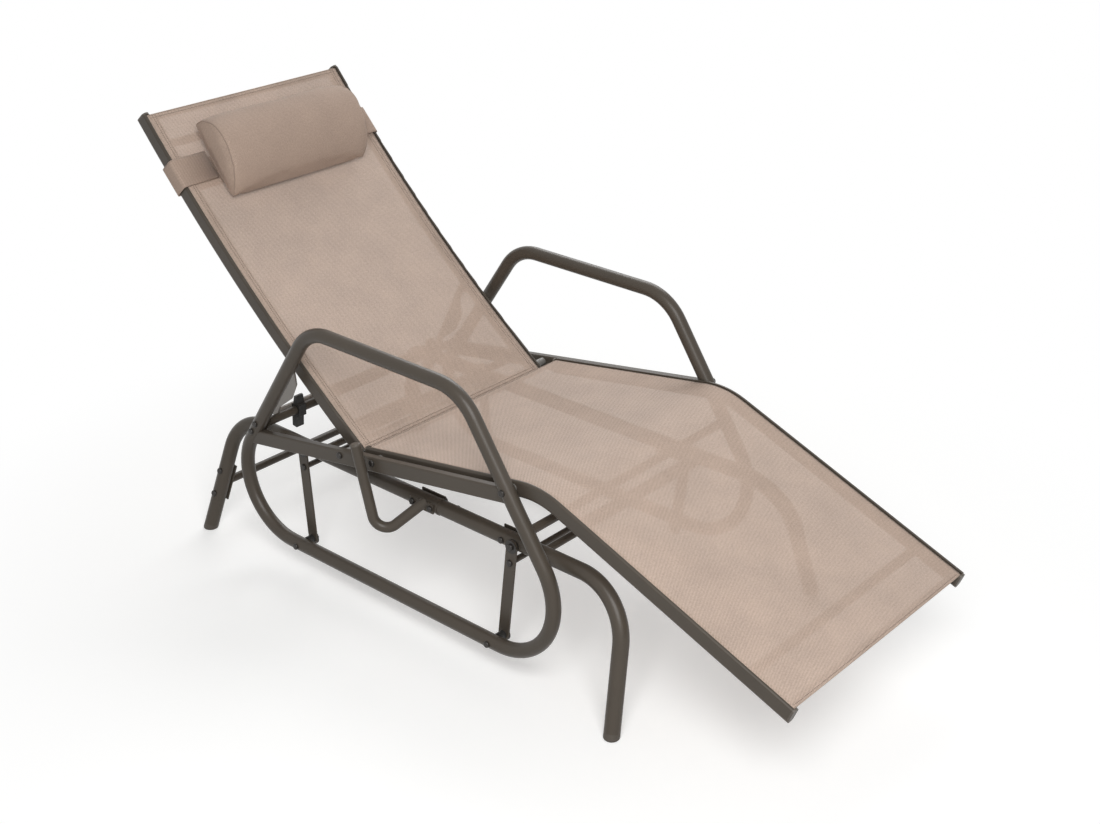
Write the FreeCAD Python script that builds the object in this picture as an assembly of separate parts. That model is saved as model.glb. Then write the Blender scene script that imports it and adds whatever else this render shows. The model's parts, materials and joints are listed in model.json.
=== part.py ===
import FreeCAD, Part
import math
import os
from FreeCAD import Vector

# Gliding sun lounger. Millimetres, X across, foot end towards -Y, head end towards +Y, Z up.
# Side views below are (y, z) with y = 0 near the back hinge and z = 0 on the floor.
# At the end the whole model is moved so that the origin is the middle of its footprint.

# Side loops: one bent tube per side makes the arm and the lower runner
LOOP_X = 310.0
LOOP_R = 15.0
WALL = 1.5
ARM_Z = 580.0
RUNNER_Z = 60.0
ARM_REAR = (106.0, ARM_Z)
ARM_FRONT = (-316.0, ARM_Z)
RUNNER_FRONT = (-666.0, RUNNER_Z)
RUNNER_REAR = (459.0, RUNNER_Z)
ARM_REAR_BEND = 105.0
ARM_FRONT_BEND = 110.0
RUNNER_FRONT_BEND = 140.0
RUNNER_REAR_BEND = 135.0
LOOP_SEAM_Z = 276.0
SEAM_GAP = 0.2

# Side rails inside the loops, which carry the seat and the back hinge
RAIL_WIDE = 18.0
RAIL_HIGH = 32.0
RAIL_REAR = (306.0, 279.0)
RAIL_FRONT = (-437.0, 403.4)
RAIL_ROUND = 4.0
FIT_GAP = 0.05

# Sling frames: the fabric lies over the rails and ends against a lip along their outer edge
SLING_RAIL_WIDE = 17.0
SLING_RAIL_UP = 3.0
SLING_RAIL_DOWN = 31.5
SLING_RAIL_ROUND = 8.0
LIP_WIDE = 7.0
LIP_ROUND = 1.2
LIP_OUTER_ROUND = 4.5
SLING_THICK = 2.4
SLING_EDGE_GAP = 1.0
RAIL_WALL = 1.6
SEAT_RAIL_X = 285.0
SEAT_REAR = (-28.0, 354.0)
SEAT_KNEE = (-490.0, 432.0)
SEAT_FOOT = (-1058.5, 210.4)
KNEE_BEND = 180.0
BACK_RAIL_X = 265.5
BACK_LOW = (3.5, 330.0)
BACK_TOP = (639.0, 909.0)
BACK_HOLLOW = 25.0
END_CAP_THICK = 4.0
HEM_INSET = 0.5

# Back hinge
HINGE = (24.0, 331.0)
HINGE_PIN_R = 5.0
RUNNING_GAP = 0.06
SPACER_R = 8.0

# Base: two side tubes, each of a rear and a front half, with splayed legs
BASE_X = 256.0
BASE_R = 16.0
BASE_Z = 268.0
FOOT_X = 332.7
REAR_CORNER_Y = 425.0
REAR_FOOT_Y = 468.0
FRONT_CORNER_Y = -671.0
FRONT_FOOT_Y = -705.0
REAR_LEG_BEND = 88.0
FRONT_LEG_BEND = 119.0
BASE_SPLIT_Y = -200.0
FOOT_PLUG_HIGH = 12.0
FOOT_SPIGOT = 18.0
FOOT_ROUND = 4.0
INSERT_LONG = 110.0
INSERT_SHIFT = 40.0
INSERT_SCREW = 30.0
INSERT_SCREW_LONG = 9.0
COLLAR_R = 17.2
COLLAR_LONG = 2.5

# Hanging links
LINK_FRONT_TOP_Y = -408.0
LINK_REAR_TOP_Y = 192.0
LINK_FRONT_LOW_Y = -384.0
LINK_REAR_LOW_Y = 178.0
LINK_X = 276.0
LINK_WIDE = 26.0
LINK_THICK = 4.0
LINK_PIN_R = 5.0
OPEN_PIVOT_GAP = 1.2
LINK_ROD_R = 6.0
LINK_ROD_BELOW = 38.0
PIVOT_PLATE_BOLT_Y = -376.0
PIVOT_PLATE_LONG = 74.0
PIVOT_PLATE_HIGH = 30.0
WASHER_R = 14.0
WASHER_THICK = 1.5
BUSH_R = 9.0
LINK_SCREW_R = 3.0

# Cross-bars
REAR_BAR = (289.0, 308.0)
REAR_BAR_R = 9.5
REAR_BAR_BOLT_Z = (297.0, 319.0)
PLATE_THICK = 3.0
BAR_PLATE_LONG = 52.0
BAR_PLATE_WIDE = 24.0
FRONT_BAR = (-478.0, 340.0)
FRONT_BAR_R = 9.0
LEG_BAR_Z = 112.0
LEG_BAR_R = 9.0
LEG_PLATE_LONG = 84.0
LEG_PLATE_WIDE = 26.0
LEG_BOLT_PITCH = 56.0
TIE_BAR_R = 7.5
FRONT_TIE_Y = -466.0
REAR_TIE_Y = 162.0
FOOT_BAR_FROM_END = 98.0
FOOT_BAR_R = 10.0
FOOT_BAR_BELOW = 12.0
BACK_BAR_R = 9.0
BACK_LOW_BAR_AT = 55.0
BACK_TOP_BAR_AT = 790.0
BACK_BAR_BELOW = 11.0

# Side post, bent outwards and up from the base on one side only
POST_X = -337.0
POST_R = 11.0
POST_TOP = (-47.0, 384.0)
POST_CORNER = (-99.0, 194.0)
POST_BASE_Y = -163.0
POST_BEND = 28.0
POST_FLANGE = (4.0, 66.0, 20.0)
POST_BOLT_PITCH = 50.0
POST_PLATE_HIGH = 30.0
POST_CAP_HIGH = 5.0
POST_CAP_ROUND = 3.5

# Folding stay behind the back, of two flat legs and a rod, and the latch blocks it stands on
STAY_X = 249.0
STAY_R = 7.0
STAY_AT = 262.0
STAY_PIVOT_BELOW = 27.0
STAY_FOOT = (308.0, 311.0)
STAY_WALL = 1.2
STAY_END = 11.0
STAY_LEG_THICK = 4.0
STAY_LEG_HALF = 8.0
STAY_LEG_WIDE = 30.0
STAY_NARROW_TO = 30.0
STAY_WIDE_FROM = 62.0
STAY_WIDE_TO = 105.0
STAY_TAPER_END = 26.0
STAY_CORNER = 5.0
STAY_PIN_R = 4.0
LUG_THICK = 4.0
LUG_WIDE = 24.0
LUG_ROOT_BELOW = 14.0
SIDE_GAP = 0.4
LATCH_X = 200.0
LATCH_WIDE = 20.0
LATCH_ROUND = 1.2

# Side view of a latch block from the middle of the rear cross-bar: clamp, prong, shelf and grip
LATCH_OUTLINE = [
    (-13.0, -13.0), (-13.0, 13.0), (-8.0, 17.0), (-6.0, 34.0), (1.0, 34.0), (4.0, 17.0), (10.5, 12.0),
    (10.5, -6.0), (30.0, -7.0), (30.0, -13.0), (11.0, -16.0), (12.0, -40.0), (-2.0, -42.0), (-4.0, -17.0),
    (-13.0, -13.0),
]

# Headrest pillow and its elastic band
PILLOW_HALF = 192.0
PILLOW_HIGH = 190.0
PILLOW_DEEP = 91.0
PILLOW_AT = 714.0
PILLOW_LIFT = 4.5
PILLOW_TRAVEL = 120.0
BAND_WIDE = 66.0
BAND_THICK = 1.6
BAND_CLEAR = 3.0
BAND_BEND = 7.0
BAND_TUCK = 8.0
BAND_OPEN_FROM = 2.0
BAND_OPEN_HIGH = 40.0
PILLOW_BACK = (0.03, 0.03)
PILLOW_TOP = (0.5, 0.25)
PILLOW_SHOULDER = (0.28, 0.92)
PILLOW_NOSE = (0.07, 1.0)
PILLOW_HIP = (-0.34, 0.61)
PILLOW_LOW = (-0.5, 0.015)
PILLOW_STEPS = [(-1.0, 0.94), (-0.9, 0.98), (0.0, 1.0), (0.9, 0.98), (1.0, 0.94)]

# Fasteners
BOLT_R = 4.0
HEAD_R = 7.0
HEAD_HIGH = 4.4
HEAD_ROUND = 2.6
NUT_R = 7.5
NUT_HIGH = 6.0
HOLE_GAP = 0.1
SEAT_BOLT_Z = 411.0
SEAT_REAR_BOLT = (-72.0, 347.0)

# Reach of cutting tools: X span of a side, and a size larger than the whole lounger
SIDE_SPAN = (-400.0, -150.0)
ROOM = 4000.0

nodes = {}


def point(x, yz):
    return Vector(x, yz[0], yz[1])


def add_pair(name, shape):
    """Store a right-hand (-X) piece and its mirror image."""
    nodes[name + "_right"] = shape
    nodes[name + "_left"] = shape.mirror(Vector(0, 0, 0), Vector(1, 0, 0))


def both_sides(shapes):
    """A list of right-hand solids followed by their mirror images."""
    return shapes + [s.mirror(Vector(0, 0, 0), Vector(1, 0, 0)) for s in shapes]


def rod(start, end, radius):
    return Part.makeCylinder(radius, (end - start).Length, start, end - start)


def across(x_from, x_to, yz, radius):
    return rod(point(x_from, yz), point(x_to, yz), radius)


def bent_edges(points, bends):
    """Straight runs joined by tangent arcs; bends holds one radius per inner point."""
    edges = []
    here = points[0]
    for before, corner, after, bend in zip(points, points[1:], points[2:], bends):
        back = (before - corner).normalize()
        ahead = (after - corner).normalize()
        half = back.getAngle(ahead) / 2.0
        reach = bend / math.tan(half)
        start = corner + back * reach
        end = corner + ahead * reach
        bisector = (back + ahead).normalize()
        middle = corner + bisector * (bend / math.sin(half) - bend)
        edges.append(Part.LineSegment(here, start).toShape())
        edges.append(Part.Arc(start, middle, end).toShape())
        here = end
    edges.append(Part.LineSegment(here, points[-1]).toShape())
    return edges


def swept(points, bends, radius):
    path = Part.Wire(bent_edges(points, bends))
    start = Part.makeCircle(radius, points[0], points[1] - points[0])
    return path.makePipeShell([Part.Wire(start)], True, False)


def tube(points, bends, radius, wall=WALL):
    return swept(points, bends, radius).cut(swept(points, bends, radius - wall))


def straight_tube(start, end, radius, wall=WALL):
    return rod(start, end, radius).cut(rod(start, end, radius - wall))


def screw(face, inward, length, shank_r=BOLT_R):
    """Screw with a domed head that stands on a face; its shank goes inward."""
    head = Part.makeCylinder(HEAD_R, HEAD_HIGH, face, inward * -1.0)
    far_rim = max(head.Edges, key=lambda edge: edge.CenterOfMass.dot(inward * -1.0))
    head = head.makeFillet(HEAD_ROUND, [far_rim])
    return head.fuse(rod(face, face + inward * length, shank_r)).removeSplitter()


def bolt(face, inward, grip, shank_r=BOLT_R):
    """Screw with a hexagonal nut where the grip ends."""
    side = inward.cross(Vector(0, 0, 1)).normalize()
    other = inward.cross(side).normalize()
    nut_face = face + inward * grip
    corners = []
    for step in range(7):
        turn = math.radians(60 * step)
        corners.append(nut_face + side * (NUT_R * math.cos(turn)) + other * (NUT_R * math.sin(turn)))
    nut = Part.Face(Part.makePolygon(corners)).extrude(inward * NUT_HIGH)
    return screw(face, inward, grip + NUT_HIGH, shank_r).fuse(nut).removeSplitter()


def drill(shape, yz, radius=BOLT_R + HOLE_GAP):
    """Cross hole along X on the right-hand side."""
    return shape.cut(across(SIDE_SPAN[0], SIDE_SPAN[1], yz, radius))


def ring(x_from, x_to, yz, radius, bore):
    return across(x_from, x_to, yz, radius).cut(across(x_from, x_to, yz, bore))


def flat_wire(edges):
    return Part.Wire(Part.sortEdges(edges)[0])


# Sling lines

def line_offset(a, b, offset):
    """Two points moved square to the line a-b; positive offset is to its upper side."""
    along = Vector(0, b[0] - a[0], b[1] - a[1]).normalize()
    up = Vector(0, -along.z, along.y)
    if up.z < 0:
        up = up * -1.0
    return point(0, a) + up * offset, point(0, b) + up * offset


def crossing(p, q, r, s):
    """Where the lines p-q and r-s meet in the side view."""
    d1 = q - p
    d2 = s - r
    t = ((r.y - p.y) * d2.z - (r.z - p.z) * d2.y) / (d1.y * d2.z - d1.z * d2.y)
    return p + d1 * t


def seat_edges(offset, inset=0.0):
    """Seat line at a height above the fabric, cut short at both ends by inset."""
    rear, knee_a = line_offset(SEAT_REAR, SEAT_KNEE, offset)
    knee_b, foot = line_offset(SEAT_KNEE, SEAT_FOOT, offset)
    knee = crossing(rear, knee_a, knee_b, foot)
    rear = rear + (knee - rear).normalize() * inset
    foot = foot + (knee - foot).normalize() * inset
    return bent_edges([rear, knee, foot], [KNEE_BEND + offset])


back_chord = point(0, BACK_TOP) - point(0, BACK_LOW)
back_up = Vector(0, back_chord.y, back_chord.z).normalize()
back_front = Vector(0, -back_up.z, back_up.y)
BACK_RADIUS = (back_chord.Length / 2.0) ** 2 / (2.0 * BACK_HOLLOW) + BACK_HOLLOW / 2.0
back_centre = (point(0, BACK_LOW) + point(0, BACK_TOP)) * 0.5 + back_front * (BACK_RADIUS - BACK_HOLLOW)
BACK_LONG = 2.0 * BACK_RADIUS * math.asin(back_chord.Length / 2.0 / BACK_RADIUS)


def back_frame(at):
    """Point on the fabric line at a length up the back, with its up and front directions."""
    turn = (at - BACK_LONG / 2.0) / BACK_RADIUS
    front = back_front * math.cos(turn) - back_up * math.sin(turn)
    up = back_up * math.cos(turn) + back_front * math.sin(turn)
    return back_centre - front * BACK_RADIUS, up, front


def back_point(at, offset):
    spot, _, front = back_frame(at)
    return spot + front * offset


def back_edges(offset, inset=0.0):
    start = back_point(inset, offset)
    middle = back_point(BACK_LONG / 2.0, offset)
    end = back_point(BACK_LONG - inset, offset)
    return [Part.Arc(start, middle, end).toShape()]


def ends(edges):
    return edges[0].valueAt(edges[0].FirstParameter), edges[-1].valueAt(edges[-1].LastParameter)


def strip(line, above, below, x_from, x_to, inset=0.0):
    """Solid between two offsets of a sling line, from x_from to x_to."""
    upper = line(above, inset)
    lower = line(below, inset)
    upper_start, upper_end = ends(upper)
    lower_start, lower_end = ends(lower)
    sides = [
        Part.LineSegment(upper_start, lower_start).toShape(),
        Part.LineSegment(upper_end, lower_end).toShape(),
    ]
    face = Part.Face(flat_wire(upper + lower + sides))
    face.translate(Vector(x_from, 0, 0))
    return face.extrude(Vector(x_to - x_from, 0, 0))


def is_low(line, edge):
    """True for an edge that lies nearer to the underside of a rail than to the fabric line."""
    fabric = Part.Wire(line(0.0))
    spot = edge.valueAt((edge.FirstParameter + edge.LastParameter) / 2.0)
    return fabric.distToShape(Part.Vertex(0, spot.y, spot.z))[0] > SLING_RAIL_DOWN / 2.0


def is_top(line, edge):
    """True for an edge that lies as high above the fabric line as the lip does."""
    upper = Part.Wire(line(SLING_RAIL_UP))
    spot = edge.valueAt((edge.FirstParameter + edge.LastParameter) / 2.0)
    return upper.distToShape(Part.Vertex(0, spot.y, spot.z))[0] < FIT_GAP


def long_edges(shape, along_least):
    """Edges that run along a sling rail: flat in X and longer than along_least."""
    return [e for e in shape.Edges if e.BoundBox.XLength < FIT_GAP and e.Length > along_least]


def sling_rail(line, rail_x):
    """Right-hand rail: hollow, round below, with a lip along the outer upper edge."""
    outer_x = -rail_x - SLING_RAIL_WIDE / 2.0
    inner_x = -rail_x + SLING_RAIL_WIDE / 2.0
    bed = -SLING_THICK / 2.0 - FIT_GAP
    section_high = bed + SLING_RAIL_DOWN
    body = strip(line, bed, -SLING_RAIL_DOWN, outer_x, inner_x)
    low_edges = [e for e in long_edges(body, section_high + FIT_GAP) if is_low(line, e)]
    body = body.makeFillet(SLING_RAIL_ROUND, low_edges)
    lip = strip(line, SLING_RAIL_UP, bed - RAIL_WALL, outer_x, outer_x + LIP_WIDE)
    lip_high = SLING_RAIL_UP - bed + RAIL_WALL
    top_edges = [e for e in long_edges(lip, 2.0 * lip_high) if is_top(line, e)]
    outer_edges = [e for e in top_edges if e.BoundBox.XMin < outer_x + LIP_WIDE / 2.0]
    lip = lip.makeFillet(LIP_OUTER_ROUND, outer_edges)
    top_edges = [e for e in long_edges(lip, 2.0 * lip_high) if is_top(line, e)]
    inner_edges = [e for e in top_edges if e.BoundBox.XMin > outer_x + LIP_WIDE - FIT_GAP]
    lip = lip.makeFillet(LIP_ROUND, inner_edges)
    chamber = strip(line, bed - RAIL_WALL, RAIL_WALL - SLING_RAIL_DOWN,
                    outer_x + RAIL_WALL, inner_x - RAIL_WALL)
    chamber_edges = [e for e in long_edges(chamber, section_high) if is_low(line, e)]
    chamber = chamber.makeFillet(SLING_RAIL_ROUND - RAIL_WALL, chamber_edges)
    return body.cut(chamber).fuse(lip).removeSplitter()


def end_plug(line_end, outward, rail_x):
    """Plastic plug that covers the end of a sling rail."""
    side = Vector(1, 0, 0)
    up = outward.cross(side)
    if up.z < 0:
        up = up * -1.0
    low = line_end + Vector(-rail_x, 0, 0) - side * (SLING_RAIL_WIDE / 2.0) - up * SLING_RAIL_DOWN
    high = low + up * (SLING_RAIL_UP + SLING_RAIL_DOWN)
    across_x = side * SLING_RAIL_WIDE
    face = Part.Face(Part.makePolygon([low, low + across_x, high + across_x, high, low]))
    plug = face.extrude(outward * END_CAP_THICK)
    depth = [e for e in plug.Edges if abs(e.Length - END_CAP_THICK) < FIT_GAP]
    return plug.makeFillet(SLING_RAIL_ROUND, depth)


# Side loops

def loop_leg_y(z, top, low):
    return top[0] + (top[1] - z) / (top[1] - low[1]) * (low[0] - top[0])


seam = point(-LOOP_X, (loop_leg_y(LOOP_SEAM_Z, ARM_REAR, RUNNER_REAR), LOOP_SEAM_Z))
rear_leg_up = (point(0, ARM_REAR) - point(0, RUNNER_REAR)).normalize()
loop_path = [
    seam + rear_leg_up * (SEAM_GAP / 2.0),
    point(-LOOP_X, ARM_REAR),
    point(-LOOP_X, ARM_FRONT),
    point(-LOOP_X, RUNNER_FRONT),
    point(-LOOP_X, RUNNER_REAR),
    seam - rear_leg_up * (SEAM_GAP / 2.0),
]
loop_bends = [ARM_REAR_BEND, ARM_FRONT_BEND, RUNNER_FRONT_BEND, RUNNER_REAR_BEND]
loop_outer = swept(loop_path, loop_bends, LOOP_R + FIT_GAP)
FRONT_LOW = (LINK_FRONT_LOW_Y, RUNNER_Z)
REAR_LOW = (LINK_REAR_LOW_Y, RUNNER_Z)
SEAT_FRONT_BOLT = (loop_leg_y(SEAT_BOLT_Z, ARM_FRONT, RUNNER_FRONT), SEAT_BOLT_Z)
REAR_BAR_BOLTS = [(loop_leg_y(z, ARM_REAR, RUNNER_REAR), z) for z in REAR_BAR_BOLT_Z]

side_loop = tube(loop_path, loop_bends, LOOP_R)
for hole in (FRONT_LOW, REAR_LOW):
    side_loop = drill(side_loop, hole, LINK_PIN_R + HOLE_GAP)
for hole in [SEAT_FRONT_BOLT] + REAR_BAR_BOLTS:
    side_loop = drill(side_loop, hole)
add_pair("side_loop", side_loop)

# Side rails

rail_along = (point(0, RAIL_FRONT) - point(0, RAIL_REAR)).normalize()
rail_up = Vector(0, rail_along.z, -rail_along.y)


def rail_block(wide, high):
    low = point(-LOOP_X - wide / 2.0, RAIL_REAR) - rail_up * (high / 2.0)
    length = point(0, RAIL_FRONT) - point(0, RAIL_REAR)
    corners = [low, low + length, low + length + rail_up * high, low + rail_up * high, low]
    return Part.Face(Part.makePolygon(corners)).extrude(Vector(wide, 0, 0))


side_rail = rail_block(RAIL_WIDE, RAIL_HIGH)
rail_edges = [e for e in side_rail.Edges if e.Length > 2.0 * RAIL_HIGH]
side_rail = side_rail.makeFillet(RAIL_ROUND, rail_edges)
side_rail = side_rail.cut(rail_block(RAIL_WIDE - 2.0 * WALL, RAIL_HIGH - 2.0 * WALL)).cut(loop_outer)
side_rail = drill(side_rail, HINGE, HINGE_PIN_R + HOLE_GAP)
side_rail = drill(side_rail, SEAT_REAR_BOLT)
add_pair("side_rail", side_rail)

# Cross-bars of the gliding frame

loop_inner_x = -LOOP_X + LOOP_R + FIT_GAP
plate_inner_x = loop_inner_x + PLATE_THICK
rear_bar = straight_tube(point(plate_inner_x, REAR_BAR), point(-plate_inner_x, REAR_BAR), REAR_BAR_R)
bar_plate_long = rear_leg_up * BAR_PLATE_LONG
bar_plate_wide = Vector(1, 0, 0).cross(rear_leg_up) * BAR_PLATE_WIDE
plate_low = point(loop_inner_x, REAR_BAR) - bar_plate_long * 0.5 - bar_plate_wide * 0.5
plate_corners = [plate_low, plate_low + bar_plate_long, plate_low + bar_plate_long + bar_plate_wide,
                 plate_low + bar_plate_wide, plate_low]
bar_plate = Part.Face(Part.makePolygon(plate_corners)).extrude(Vector(PLATE_THICK, 0, 0))
for hole in REAR_BAR_BOLTS:
    bar_plate = drill(bar_plate, hole)
nodes["frame_rear_crossbar"] = rear_bar.fuse(both_sides([bar_plate])).removeSplitter()
front_bar = straight_tube(point(-LOOP_X, FRONT_BAR), point(LOOP_X, FRONT_BAR), FRONT_BAR_R)
for loop in both_sides([loop_outer]):
    front_bar = front_bar.cut(loop)
nodes["frame_front_crossbar"] = front_bar

# Seat: rails, foot bar, sling and end plugs

seat_rail = sling_rail(seat_edges, SEAT_RAIL_X)
for hole in (SEAT_FRONT_BOLT, SEAT_REAR_BOLT):
    seat_rail = drill(seat_rail, hole)
add_pair("seat_rail", seat_rail)
seat_half = SEAT_RAIL_X - SLING_RAIL_WIDE / 2.0
seat_cloth = SEAT_RAIL_X + SLING_RAIL_WIDE / 2.0 - LIP_WIDE - SLING_EDGE_GAP
nodes["seat_sling"] = strip(seat_edges, SLING_THICK / 2.0, -SLING_THICK / 2.0,
                            -seat_cloth, seat_cloth, HEM_INSET)
seat_line = seat_edges(0.0)
seat_rear_end, seat_foot_end = ends(seat_line)
foot_out = (point(0, SEAT_FOOT) - point(0, SEAT_KNEE)).normalize()
rear_out = (point(0, SEAT_REAR) - point(0, SEAT_KNEE)).normalize()
foot_bar_at = ends(seat_edges(-FOOT_BAR_BELOW, FOOT_BAR_FROM_END))[1]
nodes["seat_foot_bar"] = straight_tube(foot_bar_at - Vector(seat_half - FIT_GAP, 0, 0),
                                       foot_bar_at + Vector(seat_half - FIT_GAP, 0, 0), FOOT_BAR_R)
nodes["seat_end_plugs"] = Part.makeCompound(both_sides([
    end_plug(seat_foot_end, foot_out, SEAT_RAIL_X),
    end_plug(seat_rear_end, rear_out, SEAT_RAIL_X),
]))

# Backrest: rails, bars, sling, end plugs and the lugs of the stay

back_rail = sling_rail(back_edges, BACK_RAIL_X)
back_rail = drill(back_rail, HINGE, HINGE_PIN_R + RUNNING_GAP)
add_pair("back_rail", back_rail)
back_half = BACK_RAIL_X - SLING_RAIL_WIDE / 2.0
back_cloth = BACK_RAIL_X + SLING_RAIL_WIDE / 2.0 - LIP_WIDE - SLING_EDGE_GAP
nodes["back_sling"] = strip(back_edges, SLING_THICK / 2.0, -SLING_THICK / 2.0,
                            -back_cloth, back_cloth, HEM_INSET)
for name, at in (("back_lower_bar", BACK_LOW_BAR_AT), ("back_upper_bar", BACK_TOP_BAR_AT)):
    centre = back_point(at, -BACK_BAR_BELOW)
    half = Vector(back_half - FIT_GAP, 0, 0)
    nodes[name] = straight_tube(centre - half, centre + half, BACK_BAR_R)
top_spot, top_up, _ = back_frame(BACK_LONG)
nodes["back_end_plugs"] = Part.makeCompound(both_sides([end_plug(top_spot, top_up, BACK_RAIL_X)]))

lug_outer_x = -back_half + FIT_GAP
lug_inner_x = lug_outer_x + LUG_THICK
lug_spot, _, lug_front = back_frame(STAY_AT)
lug_root = lug_spot - lug_front * LUG_ROOT_BELOW
stay_pivot = lug_spot - lug_front * STAY_PIVOT_BELOW
STAY_PIVOT = (stay_pivot.y, stay_pivot.z)


def link_plate(x_from, x_to, top, low, wide):
    """Flat bar with round ends between two points of the side view."""
    along = (point(0, low) - point(0, top)).normalize()
    side = Vector(1, 0, 0).cross(along) * (wide / 2.0)
    a = point(x_from, top)
    b = point(x_from, low)
    edges = [
        Part.LineSegment(a + side, b + side).toShape(),
        Part.Arc(b + side, b + along * (wide / 2.0), b - side).toShape(),
        Part.LineSegment(b - side, a - side).toShape(),
        Part.Arc(a - side, a - along * (wide / 2.0), a + side).toShape(),
    ]
    return Part.Face(Part.Wire(edges)).extrude(Vector(x_to - x_from, 0, 0))


stay_lug = link_plate(lug_outer_x, lug_inner_x, (lug_root.y, lug_root.z), STAY_PIVOT, LUG_WIDE)
add_pair("stay_lug", drill(stay_lug, STAY_PIVOT, STAY_PIN_R + HOLE_GAP))
stay_pin_x = -STAY_X + STAY_LEG_THICK / 2.0 + SIDE_GAP
nodes["stay_pins"] = Part.makeCompound(both_sides([
    screw(point(stay_pin_x, STAY_PIVOT), Vector(-1, 0, 0), stay_pin_x - lug_outer_x, STAY_PIN_R)
]))

# Folding stay

stay_down = point(0, STAY_FOOT) - point(0, STAY_PIVOT)
stay_long = stay_down.Length
stay_down.normalize()
stay_ahead = Vector(-1, 0, 0).cross(stay_down)
stay_foot_end = stay_long + STAY_LEG_HALF
stay_outline = [
    (-STAY_END, -STAY_LEG_HALF), (stay_foot_end, -STAY_LEG_HALF), (stay_foot_end, STAY_LEG_HALF),
    (stay_long - STAY_TAPER_END, STAY_LEG_HALF), (STAY_WIDE_TO, STAY_LEG_WIDE),
    (STAY_WIDE_FROM, STAY_LEG_WIDE), (STAY_NARROW_TO, STAY_LEG_HALF), (-STAY_END, STAY_LEG_HALF),
    (-STAY_END, -STAY_LEG_HALF),
]
stay_outer_x = -STAY_X - STAY_LEG_THICK / 2.0
stay_inner_x = -STAY_X + STAY_LEG_THICK / 2.0
stay_corners = [point(stay_outer_x, STAY_PIVOT) + stay_down * a + stay_ahead * f for a, f in stay_outline]
stay_leg = Part.Face(Part.makePolygon(stay_corners)).extrude(Vector(STAY_LEG_THICK, 0, 0))
stay_edges = [e for e in stay_leg.Edges if abs(e.BoundBox.XLength - STAY_LEG_THICK) < FIT_GAP]
stay_leg = drill(stay_leg.makeFillet(STAY_CORNER, stay_edges), STAY_PIVOT, STAY_PIN_R + RUNNING_GAP)
stay_rod = straight_tube(point(stay_inner_x, STAY_FOOT), point(-stay_inner_x, STAY_FOOT), STAY_R, STAY_WALL)
nodes["back_stay"] = stay_rod.fuse(both_sides([stay_leg])).removeSplitter()

# Latch blocks on the rear cross-bar

latch_low = point(-LATCH_X - LATCH_WIDE / 2.0, REAR_BAR)
latch_points = [latch_low + point(0, spot) for spot in LATCH_OUTLINE]
latch = Part.Face(Part.makePolygon(latch_points)).extrude(Vector(LATCH_WIDE, 0, 0))
latch_corners = [e for e in latch.Edges if abs(e.BoundBox.XLength - LATCH_WIDE) < FIT_GAP]
latch = latch.makeFillet(LATCH_ROUND, latch_corners)
add_pair("stay_latch", drill(latch, REAR_BAR, REAR_BAR_R + FIT_GAP))

# Base tubes, feet and tie bars

rear_corner = Vector(-BASE_X, REAR_CORNER_Y, BASE_Z)
front_corner = Vector(-BASE_X, FRONT_CORNER_Y, BASE_Z)
rear_foot = Vector(-FOOT_X, REAR_FOOT_Y, 0)
front_foot = Vector(-FOOT_X, FRONT_FOOT_Y, 0)
below_floor = Part.makeBox(ROOM, ROOM, ROOM, Vector(-ROOM / 2.0, -ROOM / 2.0, -ROOM))


def leg_path(corner, foot, start_y):
    """From the split of the side tube to the top of the foot plug."""
    down = (foot - corner).normalize()
    return [Vector(-BASE_X, start_y, BASE_Z), corner, foot - down * (FOOT_PLUG_HIGH + FIT_GAP)]


def foot_plug(corner, foot):
    """Plug in the end of a leg: a spigot inside the tube and a head as wide as it, flat on the floor."""
    down = (foot - corner).normalize()
    neck = foot - down * FOOT_PLUG_HIGH
    head = rod(neck, foot + down * FOOT_PLUG_HIGH, BASE_R).cut(below_floor)
    sole_edge = min(head.Edges, key=lambda edge: edge.BoundBox.ZMax)
    head = head.makeFillet(FOOT_ROUND, [sole_edge])
    return head.fuse(rod(neck - down * FOOT_SPIGOT, neck, BASE_R - WALL - FIT_GAP)).removeSplitter()


rear_path = leg_path(rear_corner, rear_foot, BASE_SPLIT_Y + SEAM_GAP / 2.0)
front_path = leg_path(front_corner, front_foot, BASE_SPLIT_Y - SEAM_GAP / 2.0)
rear_outer = swept(rear_path, [REAR_LEG_BEND], BASE_R + FIT_GAP)
base_rear = tube(rear_path, [REAR_LEG_BEND], BASE_R)
base_front = tube(front_path, [FRONT_LEG_BEND], BASE_R)
nodes["foot_caps"] = Part.makeCompound(both_sides([
    foot_plug(rear_corner, rear_foot),
    foot_plug(front_corner, front_foot),
]))

FRONT_TOP = (LINK_FRONT_TOP_Y, BASE_Z)
REAR_TOP = (LINK_REAR_TOP_Y, BASE_Z)
POST_BOLTS = [(POST_BASE_Y + side * POST_BOLT_PITCH / 2.0, BASE_Z) for side in (1.0, -1.0)]
insert_r = BASE_R - WALL - FIT_GAP
insert_from = Vector(-BASE_X, BASE_SPLIT_Y - INSERT_LONG / 2.0, BASE_Z)
insert_to = Vector(-BASE_X, BASE_SPLIT_Y + INSERT_LONG / 2.0 + INSERT_SHIFT, BASE_Z)
insert = straight_tube(insert_from, insert_to, insert_r)
base_rear = drill(base_rear, REAR_TOP, LINK_PIN_R + HOLE_GAP)
base_front = drill(base_front, FRONT_TOP, LINK_PIN_R + HOLE_GAP)
for hole in POST_BOLTS:
    base_rear = drill(base_rear, hole)
    insert = drill(insert, hole)
INSERT_SPOT = (BASE_SPLIT_Y - INSERT_SCREW, BASE_Z)
PIVOT_PLATE_BOLT = (PIVOT_PLATE_BOLT_Y, BASE_Z)
base_inner_x = -BASE_X + BASE_R + FIT_GAP
insert_hole = across(-BASE_X, base_inner_x, INSERT_SPOT, BOLT_R + HOLE_GAP)
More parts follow.
